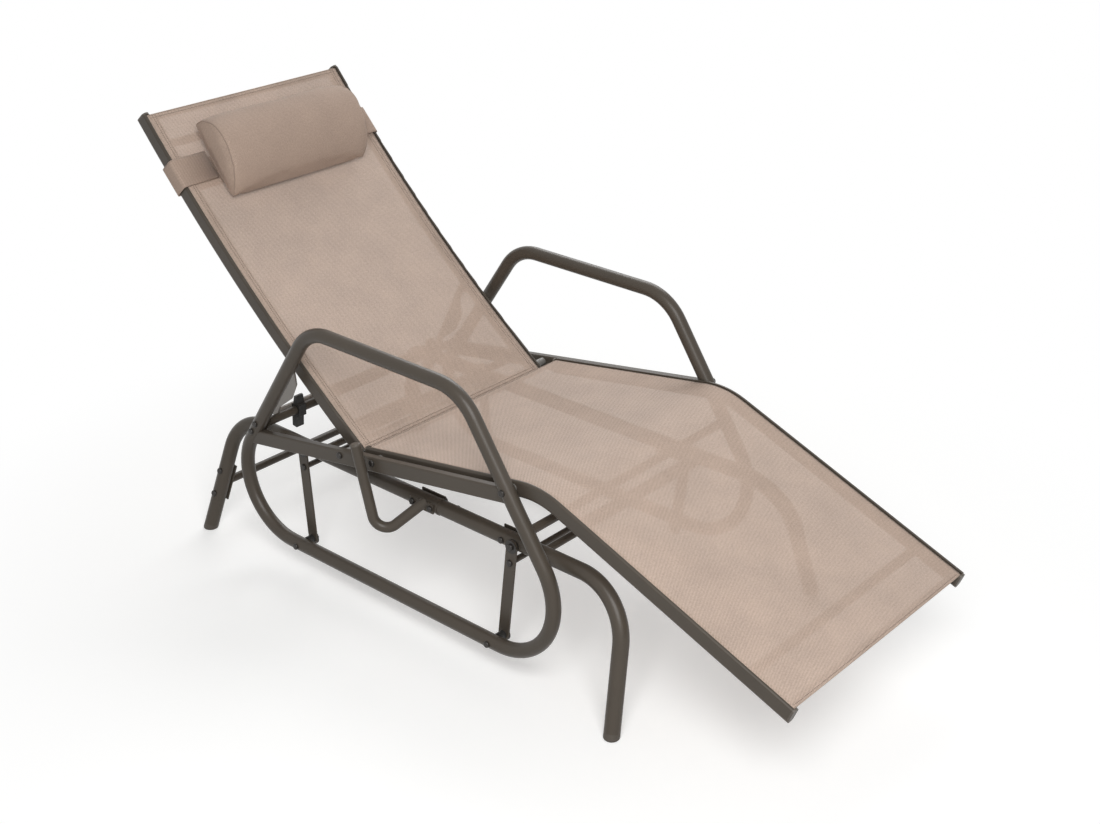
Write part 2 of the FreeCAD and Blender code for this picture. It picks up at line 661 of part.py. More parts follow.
base_front = drill(base_front, PIVOT_PLATE_BOLT).cut(insert_hole)
insert = insert.cut(insert_hole)
add_pair("base_insert", insert)
nodes["joint_collars"] = Part.makeCompound(both_sides([
    rod(Vector(-BASE_X, BASE_SPLIT_Y - COLLAR_LONG, BASE_Z),
        Vector(-BASE_X, BASE_SPLIT_Y + COLLAR_LONG, BASE_Z), COLLAR_R).cut(
        rod(insert_from, insert_to, BASE_R + FIT_GAP))
]))

for name, y in (("base_front_tie", FRONT_TIE_Y), ("base_rear_tie", REAR_TIE_Y)):
    nodes[name] = straight_tube(Vector(base_inner_x, y, BASE_Z), Vector(-base_inner_x, y, BASE_Z), TIE_BAR_R)
plate_middle_y = (PIVOT_PLATE_BOLT_Y + LINK_FRONT_TOP_Y) / 2.0
pivot_plate = Part.makeBox(PLATE_THICK, PIVOT_PLATE_LONG, PIVOT_PLATE_HIGH,
                           Vector(base_inner_x, plate_middle_y - PIVOT_PLATE_LONG / 2.0, BASE_Z - BASE_R))
pivot_plate = drill(drill(pivot_plate, PIVOT_PLATE_BOLT), FRONT_TOP, LINK_PIN_R + HOLE_GAP)
nodes["front_pivot_plates"] = Part.makeCompound(both_sides([pivot_plate]))

# Cross-bar between the rear legs, with a plate and two bolts at each end

leg_down = (rear_foot - rear_corner).normalize()
leg_in = (Vector(1, 0, 0) - leg_down * leg_down.x).normalize()
leg_side = leg_down.cross(leg_in)
leg_spot = rear_corner + leg_down * ((BASE_Z - LEG_BAR_Z) / -leg_down.z)
leg_plate_low = (leg_spot + leg_in * (BASE_R + FIT_GAP) - leg_down * (LEG_PLATE_LONG / 2.0)
                 - leg_side * (LEG_PLATE_WIDE / 2.0))
long_step = leg_down * LEG_PLATE_LONG
wide_step = leg_side * LEG_PLATE_WIDE
leg_plate = Part.Face(Part.makePolygon([
    leg_plate_low, leg_plate_low + long_step, leg_plate_low + long_step + wide_step,
    leg_plate_low + wide_step, leg_plate_low])).extrude(leg_in * PLATE_THICK)
leg_bar_end = leg_spot + leg_in * BASE_R
leg_bar = straight_tube(leg_bar_end, Vector(-leg_bar_end.x, leg_bar_end.y, leg_bar_end.z), LEG_BAR_R)
for room in both_sides([leg_plate.fuse(rear_outer)]):
    leg_bar = leg_bar.cut(room)
leg_bar = max(leg_bar.Solids, key=lambda solid: solid.Volume)
leg_bolts = []
for side in (1.0, -1.0):
    spot = leg_spot + leg_down * (side * LEG_BOLT_PITCH / 2.0)
    leg_bolts.append(bolt(spot - leg_in * BASE_R, leg_in, 2.0 * BASE_R + FIT_GAP + PLATE_THICK))
    bore = rod(spot - leg_in * (2.0 * BASE_R), spot + leg_in * (2.0 * BASE_R), BOLT_R + HOLE_GAP)
    leg_plate = leg_plate.cut(bore)
    base_rear = base_rear.cut(bore)
nodes["base_leg_crossbar"] = leg_bar.fuse(both_sides([leg_plate])).removeSplitter()

# Side post with its flange and inner plate

flange_thick, flange_long, flange_high = POST_FLANGE
flange_x = -BASE_X - BASE_R - FIT_GAP - flange_thick
post_flange = Part.makeBox(flange_thick, flange_long, flange_high,
                           Vector(flange_x, POST_BASE_Y - flange_long / 2.0, BASE_Z - flange_high / 2.0))
post_plate = Part.makeBox(PLATE_THICK, flange_long, POST_PLATE_HIGH,
                          Vector(base_inner_x, POST_BASE_Y - flange_long / 2.0, BASE_Z - BASE_R))
for hole in POST_BOLTS:
    post_flange = drill(post_flange, hole)
    post_plate = drill(post_plate, hole)
nodes["post_flange"] = post_flange
nodes["post_inner_plate"] = post_plate
post_root = Vector(flange_x, POST_BASE_Y, BASE_Z)
post_corner = point(POST_X, POST_CORNER)
post_top = point(POST_X, POST_TOP)
post_in = (post_root - post_corner).normalize()
post = tube([post_root + post_in * flange_long, post_corner, post_top], [POST_BEND], POST_R)
post_room = Part.makeBox(ROOM, ROOM, ROOM, Vector(flange_x - FIT_GAP, -ROOM / 2.0, -ROOM / 2.0))
nodes["side_post"] = post.cut(post_room)
post_up = (post_top - post_corner).normalize()
post_cap = Part.makeCylinder(POST_R, POST_CAP_HIGH, post_top + post_up * FIT_GAP, post_up)
cap_rim = max(post_cap.Edges, key=lambda edge: edge.CenterOfMass.dot(post_up))
nodes["post_cap"] = post_cap.makeFillet(POST_CAP_ROUND, [cap_rim])

add_pair("base_rear_tube", base_rear)
add_pair("base_front_tube", base_front)

# Links, their rods and pivots

link_outer_x = -LINK_X - LINK_THICK / 2.0
link_inner_x = -LINK_X + LINK_THICK / 2.0


def link(name, top, low, low_hole):
    """Right-hand and left-hand link with the rod that joins them."""
    plate = link_plate(link_outer_x, link_inner_x, top, low, LINK_WIDE)
    plate = drill(plate, top, LINK_PIN_R + RUNNING_GAP)
    plate = drill(plate, low, low_hole)
    down = (point(0, low) - point(0, top)).normalize()
    spot = point(0, top) + down * LINK_ROD_BELOW
    rod_end = Vector(link_inner_x + FIT_GAP, 0, 0)
    nodes[name + "_link_rod"] = rod(spot + rod_end, spot - rod_end, LINK_ROD_R)
    add_pair(name + "_link", drill(plate, (spot.y, spot.z), LINK_SCREW_R + HOLE_GAP))
    screws = both_sides([screw(spot + Vector(link_outer_x, 0, 0), Vector(1, 0, 0), LINK_THICK, LINK_SCREW_R)])
    nodes[name + "_link_screws"] = Part.makeCompound(screws)


link("front", FRONT_TOP, FRONT_LOW, LINK_PIN_R + RUNNING_GAP)
link("rear", REAR_TOP, REAR_LOW, LINK_PIN_R + OPEN_PIVOT_GAP)

inward = Vector(1, 0, 0)
base_outer_x = -BASE_X - BASE_R
washer_outer_x = link_outer_x - SIDE_GAP - WASHER_THICK
washer_inner_x = link_inner_x + SIDE_GAP
pivot_bolts = []
pivot_washers = []
for top, behind in ((FRONT_TOP, PLATE_THICK), (REAR_TOP, 0.0)):
    grip = base_inner_x + behind - washer_outer_x
    pivot_bolts.append(bolt(point(washer_outer_x, top), inward, grip, LINK_PIN_R))
    pivot_washers.append(ring(washer_outer_x, link_outer_x - SIDE_GAP, top, WASHER_R, LINK_PIN_R + HOLE_GAP))
    pivot_washers.append(ring(washer_inner_x, base_outer_x - FIT_GAP, top, WASHER_R, LINK_PIN_R + HOLE_GAP))
nodes["upper_pivot_bolts"] = Part.makeCompound(both_sides(pivot_bolts))
nodes["upper_pivot_washers"] = Part.makeCompound(both_sides(pivot_washers))

lower_bolts = []
lower_bushes = []
loop_outer_x = -LOOP_X - LOOP_R
lower_nut_x = washer_inner_x + WASHER_THICK
for low in (FRONT_LOW, REAR_LOW):
    lower_bolts.append(bolt(point(loop_outer_x, low), inward, lower_nut_x - loop_outer_x, LINK_PIN_R))
    lower_bushes.append(ring(loop_inner_x, link_outer_x - SIDE_GAP, low, BUSH_R, LINK_PIN_R + HOLE_GAP))
    lower_bushes.append(ring(washer_inner_x, lower_nut_x, low, WASHER_R, LINK_PIN_R + HOLE_GAP))
nodes["lower_pivot_bolts"] = Part.makeCompound(both_sides(lower_bolts))
nodes["lower_pivot_bushes"] = Part.makeCompound(both_sides(lower_bushes))

# Other fasteners of the gliding frame and the base

rail_outer_x = -LOOP_X - RAIL_WIDE / 2.0
rail_inner_x = -LOOP_X + RAIL_WIDE / 2.0
seat_outer_x = -SEAT_RAIL_X - SLING_RAIL_WIDE / 2.0
back_outer_x = -BACK_RAIL_X - SLING_RAIL_WIDE / 2.0
nodes["hinge_bolts"] = Part.makeCompound(both_sides([
    screw(point(rail_outer_x, HINGE), inward, -back_half - rail_outer_x, HINGE_PIN_R)
]))
nodes["rail_spacers"] = Part.makeCompound(both_sides([
    ring(rail_inner_x + FIT_GAP, back_outer_x - SIDE_GAP, HINGE, SPACER_R, HINGE_PIN_R + HOLE_GAP),
    ring(rail_inner_x + FIT_GAP, seat_outer_x - FIT_GAP, SEAT_REAR_BOLT, SPACER_R, BOLT_R + HOLE_GAP),
    ring(loop_inner_x, seat_outer_x - FIT_GAP, SEAT_FRONT_BOLT, SPACER_R, BOLT_R + HOLE_GAP),
]))
seat_bolts = [
    bolt(point(rail_outer_x, SEAT_REAR_BOLT), inward, -seat_half - rail_outer_x),
    bolt(point(loop_outer_x, SEAT_FRONT_BOLT), inward, -seat_half - loop_outer_x),
]
bar_screw_long = plate_inner_x - FIT_GAP - loop_outer_x
bar_screws = [screw(point(loop_outer_x, spot), inward, bar_screw_long) for spot in REAR_BAR_BOLTS]
nodes["frame_bolts"] = Part.makeCompound(both_sides(seat_bolts + bar_screws))
tube_grip = base_inner_x - base_outer_x
post_grip = base_inner_x + PLATE_THICK - flange_x
post_bolts = [bolt(point(flange_x, spot), inward, post_grip) for spot in POST_BOLTS]
far_bolts = [bolt(point(-base_outer_x, spot), inward * -1.0, tube_grip) for spot in POST_BOLTS]
paired_bolts = both_sides(leg_bolts + [
    bolt(point(base_outer_x, PIVOT_PLATE_BOLT), inward, tube_grip + PLATE_THICK),
    screw(point(base_inner_x, INSERT_SPOT), inward * -1.0, INSERT_SCREW_LONG),
])
nodes["base_bolts"] = Part.makeCompound(post_bolts + far_bolts + paired_bolts)

# Headrest: bolster pillow and the elastic band that holds it round the back rails

pillow_spot, pillow_up, pillow_front = back_frame(PILLOW_AT)


def pillow_section(x, high, deep):
    """D-shaped section: nearly flat behind, two arcs in front, fuller towards the top."""
    base = pillow_spot + pillow_front * (SLING_THICK / 2.0 + PILLOW_LIFT) + Vector(x, 0, 0)

    def spot(shares):
        return base + pillow_up * (high * shares[0]) + pillow_front * (deep * shares[1])

    return Part.Wire([
        Part.Arc(spot(PILLOW_LOW), spot(PILLOW_BACK), spot(PILLOW_TOP)).toShape(),
        Part.Arc(spot(PILLOW_TOP), spot(PILLOW_SHOULDER), spot(PILLOW_NOSE)).toShape(),
        Part.Arc(spot(PILLOW_NOSE), spot(PILLOW_HIP), spot(PILLOW_LOW)).toShape(),
    ])


pillow_sections = [
    pillow_section(PILLOW_HALF * at, PILLOW_HIGH * swell, PILLOW_DEEP * swell) for at, swell in PILLOW_STEPS
]
pillow = Part.makeLoft(pillow_sections, True, False)
nodes["headrest_pillow"] = pillow


def band_ring(grow):
    """Rounded ring section round both back rails, seen along the back."""
    half = BACK_RAIL_X + SLING_RAIL_WIDE / 2.0 + BAND_CLEAR + grow
    front = SLING_RAIL_UP + BAND_CLEAR + grow
    behind = -SLING_RAIL_DOWN - BAND_CLEAR - grow
    start = pillow_spot - pillow_up * (BAND_WIDE / 2.0)
    corners = [(-half, behind), (half, behind), (half, front), (-half, front), (-half, behind)]
    face = Part.Face(Part.makePolygon([start + Vector(x, 0, 0) + pillow_front * n for x, n in corners]))
    block = face.extrude(pillow_up * BAND_WIDE)
    upright = [e for e in block.Edges if abs(e.Length - BAND_WIDE) < FIT_GAP]
    return block.makeFillet(BAND_BEND + grow, upright)


band = band_ring(BAND_THICK).cut(band_ring(0.0))
gap_side = Vector(PILLOW_HALF - BAND_TUCK, 0, 0)
gap_low = pillow_spot - pillow_up * BAND_WIDE + pillow_front * BAND_OPEN_FROM
gap_high = gap_low + pillow_front * BAND_OPEN_HIGH
gap_corners = [
    gap_low - gap_side, gap_low + gap_side, gap_high + gap_side, gap_high - gap_side, gap_low - gap_side,
]
gap_face = Part.Face(Part.makePolygon(gap_corners))
band = band.cut(gap_face.extrude(pillow_up * (2.0 * BAND_WIDE)))
nodes["headrest_band"] = max(band.cut(pillow).Solids, key=lambda solid: solid.Volume)

# Set the origin at the middle of the footprint, on the floor, and write the pieces.
# The middle plane of the mirrored pairs stays at x = 0.

whole = Part.makeCompound(list(nodes.values())).optimalBoundingBox(True, False)
shift = Vector(0, -whole.Center.y, -whole.ZMin)
os.makedirs("parts", exist_ok=True)
for name, shape in nodes.items():
    placed = shape.copy()
    placed.translate(shift)
    placed.exportStep("parts/" + name + ".step")

print("size", round(whole.XLength, 1), round(whole.YLength, 1), round(whole.ZLength, 1))
print("shift", [round(v, 3) for v in shift])
print("nodes", len(nodes))
pivots = {
    "front_top": FRONT_TOP, "front_low": FRONT_LOW, "rear_top": REAR_TOP, "rear_low": REAR_LOW,
    "hinge": HINGE, "stay_pivot": STAY_PIVOT, "stay_foot": STAY_FOOT,
    "pillow": (pillow_spot.y, pillow_spot.z),
    "pillow_low": (back_frame(PILLOW_AT - PILLOW_TRAVEL)[0].y, back_frame(PILLOW_AT - PILLOW_TRAVEL)[0].z),
}
for name, yz in pivots.items():
    print("pivot", name, round(yz[0] + shift.y, 3), round(yz[1] + shift.z, 3))
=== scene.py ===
import bmesh
import bpy
import json
import math
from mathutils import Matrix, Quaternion, Vector
from mathutils.bvhtree import BVHTree


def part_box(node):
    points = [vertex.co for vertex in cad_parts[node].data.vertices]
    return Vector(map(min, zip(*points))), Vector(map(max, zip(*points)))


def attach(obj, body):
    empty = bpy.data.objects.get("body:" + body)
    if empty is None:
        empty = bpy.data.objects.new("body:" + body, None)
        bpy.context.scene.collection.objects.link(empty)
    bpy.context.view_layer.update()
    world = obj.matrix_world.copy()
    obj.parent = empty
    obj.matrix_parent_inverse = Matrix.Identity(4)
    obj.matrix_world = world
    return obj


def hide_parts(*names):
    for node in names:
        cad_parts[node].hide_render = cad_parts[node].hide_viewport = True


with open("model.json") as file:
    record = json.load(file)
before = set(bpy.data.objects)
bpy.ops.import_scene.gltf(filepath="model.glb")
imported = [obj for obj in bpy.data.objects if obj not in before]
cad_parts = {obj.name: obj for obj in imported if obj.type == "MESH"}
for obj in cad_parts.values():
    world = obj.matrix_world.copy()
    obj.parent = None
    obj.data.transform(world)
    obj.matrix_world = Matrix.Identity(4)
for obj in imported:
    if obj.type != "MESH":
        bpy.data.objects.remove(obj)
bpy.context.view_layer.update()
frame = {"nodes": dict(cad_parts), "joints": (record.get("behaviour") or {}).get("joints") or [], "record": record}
joints = {joint["name"]: joint for joint in frame["joints"]}

# Side views are (y, z) in metres from the back hinge. X runs across, the foot end is towards -Y.
HINGE = Vector(joints["back_recline"]["pos_m"])
ACROSS = Vector((1.0, 0.0, 0.0))

# Camera: place from the hinge, turn, and focal length in photograph widths
CAMERA_PLACE = (-2.2573, -2.2703, 1.5427)
CAMERA_AZIMUTH = math.radians(-48.68)
CAMERA_ELEVATION = math.radians(26.06)
FOCAL_WIDTHS = 1648.6 / 1100.0
SENSOR = 36.0

# Seat and back lines, as in the solids
SEAT_REAR = (-0.052, 0.023)
SEAT_KNEE = (-0.514, 0.101)
SEAT_FOOT = (-1.0825, -0.1206)
KNEE_BEND = 0.180
BACK_LOW = (-0.0205, -0.001)
BACK_TOP = (0.615, 0.578)
BACK_HOLLOW = 0.025
SEAT_CLOTH_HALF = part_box("seat_sling")[1].x
BACK_CLOTH_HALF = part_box("back_sling")[1].x
SEAT_OPEN_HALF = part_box("seat_rail_left")[0].x
BACK_OPEN_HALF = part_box("back_rail_left")[0].x
SEAT_BAR_FROM_FOOT = 0.098
BACK_BARS = (0.055, 0.790)

# Slings
CLOTH_THICK = 0.0011
END_INSET = 0.0015
HEM_ROLL = 0.0016
HEM_TURN = 0.014
HEM_TURN_SHARES = (1.0, 0.66, 0.33)
HEM_STEPS = 6
SLING_ROWS = 150
SLING_COLUMNS = 85
EDGE_TURN = 0.004
EDGE_DROP = 0.0012
SIDE_HEM_PAST_SEAM = 0.003
BACK_SIDE_SEAMS = (0.0125, 0.0185)
BACK_END_SEAMS = (0.0035, 0.010)
SEAT_END_SEAMS = (0.006,)
SEAM_SHORT_OF_END = 0.004
SEAM_SHORT_OF_SIDE = 0.005
STITCH_LONG = 0.0034
STITCH_PITCH = 0.0044
STITCH_R = 0.0007
STITCH_SIDES = 6
STITCH_RINGS = ((-0.5, 0.35), (-0.25, 1.0), (0.25, 1.0), (0.5, 0.35))
STITCH_PROUD = 0.2
SEAT_SAG = 0.006
FOOT_SAG = 0.001
BACK_SAG = 0.0045
LEAST_SAG = 0.0006
SAG_ACROSS = 1.2
SEAT_SAG_ALONG = 0.6
BACK_SAG_ALONG = 0.7
WEAVE_PITCH = 0.0019
PILLOW_PITCH = 0.0017
BAND_PITCH = 0.0021
# Painted shade on the sling hems: how much their tone is darkened
HEM_PAINTED_SHADE = 0.10

# Pillow and band
PILLOW_AT = 0.714
PILLOW_HALF = 0.192
PILLOW_HIGH = 0.190
PILLOW_DEEP = 0.091
PILLOW_LIFT = 0.0057
PILLOW_LOW = (-0.5, 0.015)
PILLOW_BACK = (0.03, 0.03)
PILLOW_TOP = (0.5, 0.25)
PILLOW_SHOULDER = (0.28, 0.92)
PILLOW_NOSE = (0.07, 1.0)
PILLOW_HIP = (-0.34, 0.61)
PILLOW_ARC_STEPS = (32, 22, 34)
PILLOW_MIDDLE = 0.4
PILLOW_ROWS = 61
PILLOW_DRAWN_IN = 0.02
PILLOW_SEAM_DRAWN_IN = 0.035
PILLOW_START = 0.975
PILLOW_SWELL = 0.006
PILLOW_VOXEL = 0.005
PILLOW_PRESSURE = 4.0
PILLOW_FRAMES = 20
END_PANEL_FACING = 0.7
PIPING_R = 0.0013
PIPING_OUT = 1.02
PIPING_PLACE = 1.01
BAND_WIDE = 0.066
BAND_THICK = 0.0014
BAND_HALF = 0.2771
BAND_FRONT = 0.0066
BAND_BEHIND = -0.0352
BAND_BEND = 0.0075
BAND_TUCK = 0.006
BAND_FALL = 0.001
BAND_COLUMNS = 13


# Lines of the slings

def in_frame(x, yz):
    return Vector((x, HINGE.y + yz[0], HINGE.z + yz[1]))


def side(yz):
    return Vector((0.0, yz[0], yz[1]))


class SeatLine:
    """Straight from the rear end, round the knee, straight to the foot end."""

    def __init__(self):
        rear, knee, foot = side(SEAT_REAR), side(SEAT_KNEE), side(SEAT_FOOT)
        self.rear = rear
        self.along = (knee - rear).normalized()
        after = (foot - knee).normalized()
        self.turn = self.along.angle(after)
        reach = KNEE_BEND * math.tan(self.turn / 2.0)
        self.first = (knee - rear).length - reach
        self.arc = KNEE_BEND * self.turn
        self.length = self.first + self.arc + (foot - knee).length - reach

    def at(self, s):
        """Point, direction along the line and direction up from the fabric."""
        turned = min(max((s - self.first) / KNEE_BEND, 0.0), self.turn)
        along = Quaternion(ACROSS, turned) @ self.along
        up = Vector((0.0, along.z, -along.y))
        start_up = Vector((0.0, self.along.z, -self.along.y))
        bend_start = self.rear + self.along * min(s, self.first)
        centre = bend_start - start_up * KNEE_BEND
        spot = centre + up * KNEE_BEND if turned > 0.0 else bend_start
        beyond = max(s - self.first - self.arc, 0.0)
        return spot + along * beyond, along, up


class BackLine:
    """Shallow arc, hollow towards the front, from the lower end to the top."""

    def __init__(self):
        low, top = side(BACK_LOW), side(BACK_TOP)
        chord = top - low
        self.up = chord.normalized()
        self.front = Vector((0.0, -self.up.z, self.up.y))
        half = chord.length / 2.0
        self.radius = half ** 2 / (2.0 * BACK_HOLLOW) + BACK_HOLLOW / 2.0
        self.centre = (low + top) / 2.0 + self.front * (self.radius - BACK_HOLLOW)
        self.length = 2.0 * self.radius * math.asin(half / self.radius)

    def at(self, s):
        turn = (s - self.length / 2.0) / self.radius
        front = self.front * math.cos(turn) - self.up * math.sin(turn)
        along = self.up * math.cos(turn) + self.front * math.sin(turn)
        return self.centre - front * self.radius, along, front


seat_line = SeatLine()
back_line = BackLine()


def on_line(line, x, s, lift):
    spot, _, up = line.at(s)
    place = spot + up * lift
    return in_frame(x, (place.y, place.z))


# Materials

def new_material(name):
    material = bpy.data.materials.new(name)
    material.use_nodes = True
    nodes = material.node_tree.nodes
    return material, nodes, material.node_tree.links, nodes["Principled BSDF"]


def set_sockets(shader, **values):
    for socket, value in values.items():
        shader.inputs[socket.replace("_", " ")].default_value = value


def node(nodes, kind, **values):
    made = nodes.new(kind)
    for key, value in values.items():
        setattr(made, key, value)
    return made


def noise_node(nodes, links, coordinates, scale, detail=2.0, roughness=0.5):
    texture = node(nodes, "ShaderNodeTexNoise")
    texture.inputs["Scale"].default_value = scale
    texture.inputs["Detail"].default_value = detail
    texture.inputs["Roughness"].default_value = roughness
    links.new(coordinates, texture.inputs["Vector"])
    return texture


def ramp_node(nodes, links, factor, stops):
    ramp = node(nodes, "ShaderNodeValToRGB")
    elements = ramp.color_ramp.elements
    while len(elements) < len(stops):
        elements.new(0.5)
    for element, (place, colour) in zip(elements, stops):
        element.position = place
        element.color = (*colour, 1.0)
    links.new(factor, ramp.inputs["Fac"])
    return ramp


def math_node(nodes, links, operation, first, second=None):
    made = node(nodes, "ShaderNodeMath", operation=operation)
    for socket, value in zip(made.inputs, (first, second)):
        if value is None:
            continue
        if isinstance(value, (int, float)):
            socket.default_value = value
        else:
            links.new(value, socket)
    return made.outputs[0]


def bump_node(nodes, links, height, strength, distance, shader):
    bump = node(nodes, "ShaderNodeBump")
    bump.inputs["Strength"].default_value = strength
    bump.inputs["Distance"].default_value = distance
    links.new(height, bump.inputs["Height"])
    links.new(bump.outputs["Normal"], shader.inputs["Normal"])


def shade(colour, factor):
    return tuple(channel * factor for channel in colour)


COAT_BROAD_SCALE = 7.0
COAT_BROAD_SHARE = 0.6
COAT_FINE_SHARE = 0.4
COAT_GLOSS_LESS = 0.05
COAT_GLOSS_MORE = 0.07
COAT_PEEL_STRENGTH = 0.5


def coated(name, colour, rough, metallic=0.0, speckle=900.0, peel=0.00005, spread=0.12, **sockets):
    """Powder coat, plastic or plated metal: mottled colour, uneven gloss and a fine peel."""
    material, nodes, links, shader = new_material(name)

    def calc(operation, first, second=None):
        return math_node(nodes, links, operation, first, second)

    set_sockets(shader, Metallic=metallic, **sockets)
    place = node(nodes, "ShaderNodeTexCoord").outputs["Object"]
    broad = noise_node(nodes, links, place, COAT_BROAD_SCALE, 3.0).outputs["Fac"]
    fine = noise_node(nodes, links, place, speckle, 2.0).outputs["Fac"]
    mixed = calc("ADD", calc("MULTIPLY", broad, COAT_BROAD_SHARE), calc("MULTIPLY", fine, COAT_FINE_SHARE))
    stops = [(0.3, shade(colour, 1.0 - spread)), (0.7, shade(colour, 1.0 + spread))]
    ramp = ramp_node(nodes, links, mixed, stops)
    links.new(ramp.outputs["Color"], shader.inputs["Base Color"])
    gloss = node(nodes, "ShaderNodeMapRange")
    gloss.inputs["To Min"].default_value = rough - COAT_GLOSS_LESS
    gloss.inputs["To Max"].default_value = rough + COAT_GLOSS_MORE
    links.new(broad, gloss.inputs["Value"])
    links.new(gloss.outputs["Result"], shader.inputs["Roughness"])
    bump_node(nodes, links, fine, COAT_PEEL_STRENGTH, peel, shader)
    return material


CLOTH_BROAD_SCALE = 9.0
CLOTH_SLUB_SCALE = 260.0
CLOTH_BROAD_SHARE = 0.2
CLOTH_SLUB_SHARE = 0.25
CLOTH_WEAVE_SHARE = 0.55
CLOTH_DARK_AT = 0.1
CLOTH_DARK_SPREAD = 1.6
CLOTH_LIGHT_AT = 0.75
CLOTH_RIDGE_STRENGTH = 0.55


def woven(name, colour, pitch, spread, clear, twill, rough=0.72, depth=0.00035):
    """Coated-yarn mesh: over-and-under weave with slight slanting ribs and small gaps that show what is
    behind. Where the cloth is doubled the gaps are closed, and the hems get painted shade: their tone is made a
    little darker."""
    material, nodes, links, shader = new_material(name)

    def calc(operation, first, second=None):
        return math_node(nodes, links, operation, first, second)

    set_sockets(shader, Roughness=rough, Specular_IOR_Level=0.3, Sheen_Weight=0.08, Sheen_Roughness=0.5)
    uv = node(nodes, "ShaderNodeUVMap", uv_map="cloth").outputs["UV"]
    split = node(nodes, "ShaderNodeSeparateXYZ")
    links.new(uv, split.inputs["Vector"])
    across, along = split.outputs["X"], split.outputs["Y"]
    turn = math.pi / pitch
    warp = calc("SINE", calc("MULTIPLY", across, turn))
    weft = calc("SINE", calc("MULTIPLY", along, turn))
    ribs = calc("SINE", calc("MULTIPLY", calc("ADD", across, along), turn))
    crossed = calc("MULTIPLY", calc("MULTIPLY", warp, weft), 1.0 - twill)
    pattern = calc("ADD", crossed, calc("MULTIPLY", ribs, twill))
    ridges = calc("ADD", calc("MULTIPLY", pattern, 0.5), 0.5)
    yarn = calc("MAXIMUM", calc("ABSOLUTE", warp), calc("ABSOLUTE", weft))
    broad = noise_node(nodes, links, uv, CLOTH_BROAD_SCALE, 4.0, 0.6).outputs["Fac"]
    slub = noise_node(nodes, links, uv, CLOTH_SLUB_SCALE, 2.0).outputs["Fac"]
    tone = calc("ADD", calc("MULTIPLY", broad, CLOTH_BROAD_SHARE), calc("MULTIPLY", slub, CLOTH_SLUB_SHARE))
    tone = calc("ADD", tone, calc("MULTIPLY", ridges, CLOTH_WEAVE_SHARE))
    hem = node(nodes, "ShaderNodeAttribute", attribute_name="hem").outputs["Fac"]
    # Painted shade: the tone is darkened where the hem attribute marks doubled cloth
    tone = calc("SUBTRACT", tone, calc("MULTIPLY", hem, HEM_PAINTED_SHADE))
    dark = shade(colour, 1.0 - CLOTH_DARK_SPREAD * spread)
    light = shade(colour, 1.0 + spread)
    ramp = ramp_node(nodes, links, tone, [(CLOTH_DARK_AT, dark), (CLOTH_LIGHT_AT, light)])
    links.new(ramp.outputs["Color"], shader.inputs["Base Color"])
    bump_node(nodes, links, calc("ADD", ridges, yarn), CLOTH_RIDGE_STRENGTH, depth, shader)
    if clear:
        gap = calc("ADD", calc("MULTIPLY", calc("SUBTRACT", 1.0, yarn), clear), clear)
        gap = calc("MULTIPLY", gap, calc("SUBTRACT", 1.0, hem))
        links.new(calc("SUBTRACT", 1.0, gap), shader.inputs["Alpha"])
    return material


FRAME_COLOUR = (0.074, 0.061, 0.048)
SLING_COLOUR = (0.593, 0.454, 0.368)
PILLOW_COLOUR = (0.455, 0.340, 0.272)

slot_materials = {
    "frame_paint": coated("taupe_powder_coat", FRAME_COLOUR, 0.33, Specular_IOR_Level=0.25),
    "stay_steel": coated("stay_coat", (0.33, 0.305, 0.28), 0.42, metallic=0.2),
    "bolt_steel": coated("plated_bolt", (0.035, 0.031, 0.028), 0.3, metallic=0.4, speckle=1500.0,
                         spread=0.25),
    "spacer_plastic": coated("grey_nylon", (0.20, 0.19, 0.176), 0.5),
    "black_plastic": coated("black_plastic", (0.018, 0.017, 0.016), 0.46, spread=0.2, peel=0.00008),
    "plug_plastic": coated("rail_plug", shade(FRAME_COLOUR, 1.15), 0.48, peel=0.00008),
    "foot_plastic": coated("foot_plastic", shade(FRAME_COLOUR, 0.9), 0.55, peel=0.00009),
}
slots = {part["node"]: part["material_slot"] for part in frame["record"]["subparts"]}
for name, cad in frame["nodes"].items():
    finish = slot_materials.get(slots[name])
    if finish:
        cad.data.materials.clear()
        cad.data.materials.append(finish)

sling_mesh = woven("sling_mesh", SLING_COLOUR, WEAVE_PITCH, 0.48, 0.20, twill=0.1)
pillow_mesh = woven("pillow_mesh", PILLOW_COLOUR, PILLOW_PITCH, 0.36, 0.0, twill=0.2, rough=0.8, depth=0.0006)
band_weave = woven("band_elastic", shade(PILLOW_COLOUR, 0.97), BAND_PITCH, 0.34, 0.0, twill=0.2, rough=0.8,
                   depth=0.0006)
thread = coated("thread", shade(SLING_COLOUR, 0.43), 0.6, speckle=2500.0, spread=0.2)
piping_cloth = coated("piping_cloth", shade(PILLOW_COLOUR, 0.8), 0.75, speckle=1800.0, spread=0.2)


# Meshes

def link_mesh(name, mesh, material):
    made = bpy.data.objects.new(name, mesh)
    bpy.context.scene.collection.objects.link(made)
    mesh.materials.append(material)
    for face in mesh.polygons:
        face.use_smooth = True
    return made


def grid(name, rows, material, uv, closed=False, hem=None):
    """Mesh of rows of points with a matching table of cloth coordinates and doubled-cloth shares."""
    wide = len(rows[0])
    points = [point for row in rows for point in row]
    faces = []
    steps = wide if closed else wide - 1
    for r in range(len(rows) - 1):
        for c in range(steps):
            d = (c + 1) % wide
            faces.append((r * wide + c, r * wide + d, (r + 1) * wide + d, (r + 1) * wide + c))
    mesh = bpy.data.meshes.new(name)
    mesh.from_pydata(points, [], faces)
    layer = mesh.uv_layers.new(name="cloth")
    flat = [pair for row in uv for pair in row]
    for loop in mesh.loops:
        layer.data[loop.index].uv = flat[loop.vertex_index]
    if hem:
        attribute = mesh.attributes.new("hem", "FLOAT", "POINT")
        attribute.data.foreach_set("value", [share for row in hem for share in row])
    return link_mesh(name, mesh, material)


